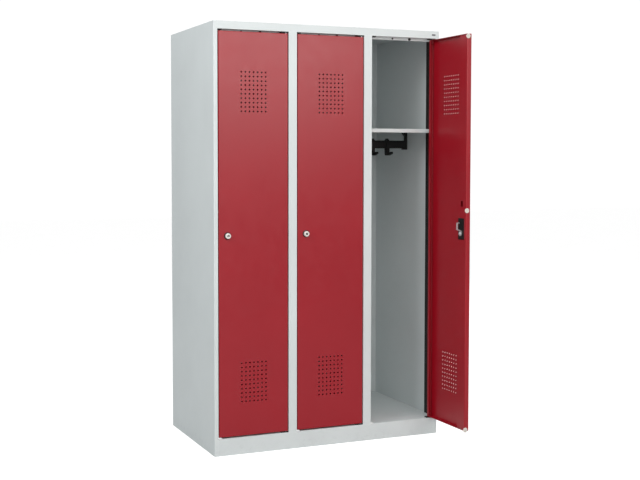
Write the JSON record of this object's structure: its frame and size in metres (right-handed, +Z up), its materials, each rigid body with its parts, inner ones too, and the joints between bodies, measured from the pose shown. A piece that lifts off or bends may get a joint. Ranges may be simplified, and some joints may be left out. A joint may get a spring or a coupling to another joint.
{
  "type": "school locker",
  "caption": "Free-standing sheet-steel locker with full-height hinged doors, vents, cam locks, hat shelves and coat rails with sliding hooks.",
  "frame": {"origin": "centre of the cabinet's footprint on the floor", "axes": "+Z up; the doors face -Y; +X to the right of a person who stands in front"},
  "size_m": [0.88, 0.7476, 1.5],
  "materials": {
    "grey_powder_coat": "satin powder coat, fine orange peel",
    "red_powder_coat": "satin powder coat, fine orange peel",
    "black_plastic": "matt",
    "black_rubber": "matt",
    "white_nylon": "satin",
    "nickel_plate": "polished nickel",
    "dark_nickel": "dull",
    "zinc_steel": "zinc plated",
    "blank_plate": "matt"
  },
  "bodies": {
    "cabinet": {"side_panel_left": "grey_powder_coat", "side_panel_right": "grey_powder_coat", "top_panel": "grey_powder_coat", "back_panel": "grey_powder_coat", "floor_tray": "grey_powder_coat", "base_ring": "grey_powder_coat", "top_rail": "grey_powder_coat", "plinth_front": "grey_powder_coat", "post_1": "grey_powder_coat", "post_2": "grey_powder_coat", "partition_1": "grey_powder_coat", "partition_2": "grey_powder_coat", "door_stops": "grey_powder_coat", "stop_buffers": "black_rubber", "hinge_bushes": "black_plastic", "hinge_side_seals": "black_plastic", "rail_brackets": "black_plastic", "name_plate": "blank_plate", "hat_shelf_1": "grey_powder_coat", "coat_rail_1": "black_plastic", "hat_shelf_2": "grey_powder_coat", "coat_rail_2": "black_plastic", "hat_shelf_3": "grey_powder_coat", "coat_rail_3": "black_plastic"},
    "door_1": {"door_panel_1": "red_powder_coat", "door_stiffener_1": "red_powder_coat", "hinge_pins_1": "zinc_steel", "edge_buffers_1": "white_nylon", "lock_housing_1": "dark_nickel", "lock_case_1": "black_plastic"},
    "lock_1": {"lock_core_1": "nickel_plate", "lock_cam_1": "zinc_steel", "cam_screw_1": "zinc_steel"},
    "door_2": {"door_panel_2": "red_powder_coat", "door_stiffener_2": "red_powder_coat", "hinge_pins_2": "zinc_steel", "edge_buffers_2": "white_nylon", "lock_housing_2": "dark_nickel", "lock_case_2": "black_plastic"},
    "lock_2": {"lock_core_2": "nickel_plate", "lock_cam_2": "zinc_steel", "cam_screw_2": "zinc_steel"},
    "door_3": {"door_panel_3": "red_powder_coat", "door_stiffener_3": "red_powder_coat", "hinge_pins_3": "zinc_steel", "edge_buffers_3": "white_nylon", "lock_housing_3": "dark_nickel", "lock_case_3": "black_plastic"},
    "lock_3": {"lock_core_3": "nickel_plate", "lock_cam_3": "zinc_steel", "cam_screw_3": "zinc_steel"},
    "hook_1_1": {"hook_1_1": "black_plastic"},
    "hook_1_2": {"hook_1_2": "black_plastic"},
    "hook_1_3": {"hook_1_3": "black_plastic"},
    "hook_2_1": {"hook_2_1": "black_plastic"},
    "hook_2_2": {"hook_2_2": "black_plastic"},
    "hook_2_3": {"hook_2_3": "black_plastic"},
    "hook_3_1": {"hook_3_1": "black_plastic"},
    "hook_3_2": {"hook_3_2": "black_plastic"},
    "hook_3_3": {"hook_3_3": "black_plastic"}
  },
  "joints": [
    {"name": "door_1_hinge", "type": "hinge", "parent": "cabinet", "child": "door_1", "pos_m": [-0.17167, -0.244, 0.765], "axis": [0, 0, 1], "range_deg": [0, 105]},
    {"name": "lock_1_turn", "type": "hinge", "parent": "door_1", "child": "lock_1", "pos_m": [-0.391, -0.25, 0.765], "axis": [0, -1, 0], "range_deg": [0, 90]},
    {"name": "door_2_hinge", "type": "hinge", "parent": "cabinet", "child": "door_2", "pos_m": [0.12267, -0.244, 0.765], "axis": [0, 0, 1], "range_deg": [0, 105]},
    {"name": "lock_2_turn", "type": "hinge", "parent": "door_2", "child": "lock_2", "pos_m": [-0.09667, -0.25, 0.765], "axis": [0, -1, 0], "range_deg": [0, 90]},
    {"name": "door_3_hinge", "type": "hinge", "parent": "cabinet", "child": "door_3", "pos_m": [0.417, -0.244, 0.765], "axis": [0, 0, 1], "range_deg": [-91, 14]},
    {"name": "lock_3_turn", "type": "hinge", "parent": "door_3", "child": "lock_3", "pos_m": [0.42683, -0.4632, 0.765], "axis": [0.9998, 0.0175, 0], "range_deg": [0, 90]},
    {"name": "hook_1_1_slide", "type": "slide", "parent": "cabinet", "child": "hook_1_1", "axis": [1, 0, 0], "range_m": [-0.033, 0.024]},
    {"name": "hook_1_2_slide", "type": "slide", "parent": "cabinet", "child": "hook_1_2", "axis": [1, 0, 0], "range_m": [-0.024, 0.024]},
    {"name": "hook_1_3_slide", "type": "slide", "parent": "cabinet", "child": "hook_1_3", "axis": [1, 0, 0], "range_m": [-0.024, 0.063]},
    {"name": "hook_2_1_slide", "type": "slide", "parent": "cabinet", "child": "hook_2_1", "axis": [1, 0, 0], "range_m": [-0.035, 0.024]},
    {"name": "hook_2_2_slide", "type": "slide", "parent": "cabinet", "child": "hook_2_2", "axis": [1, 0, 0], "range_m": [-0.024, 0.024]},
    {"name": "hook_2_3_slide", "type": "slide", "parent": "cabinet", "child": "hook_2_3", "axis": [1, 0, 0], "range_m": [-0.024, 0.063]},
    {"name": "hook_3_1_slide", "type": "slide", "parent": "cabinet", "child": "hook_3_1", "axis": [1, 0, 0], "range_m": [-0.035, 0.024]},
    {"name": "hook_3_2_slide", "type": "slide", "parent": "cabinet", "child": "hook_3_2", "axis": [1, 0, 0], "range_m": [-0.024, 0.024]},
    {"name": "hook_3_3_slide", "type": "slide", "parent": "cabinet", "child": "hook_3_3", "axis": [1, 0, 0], "range_m": [-0.024, 0.061]}
  ]
}
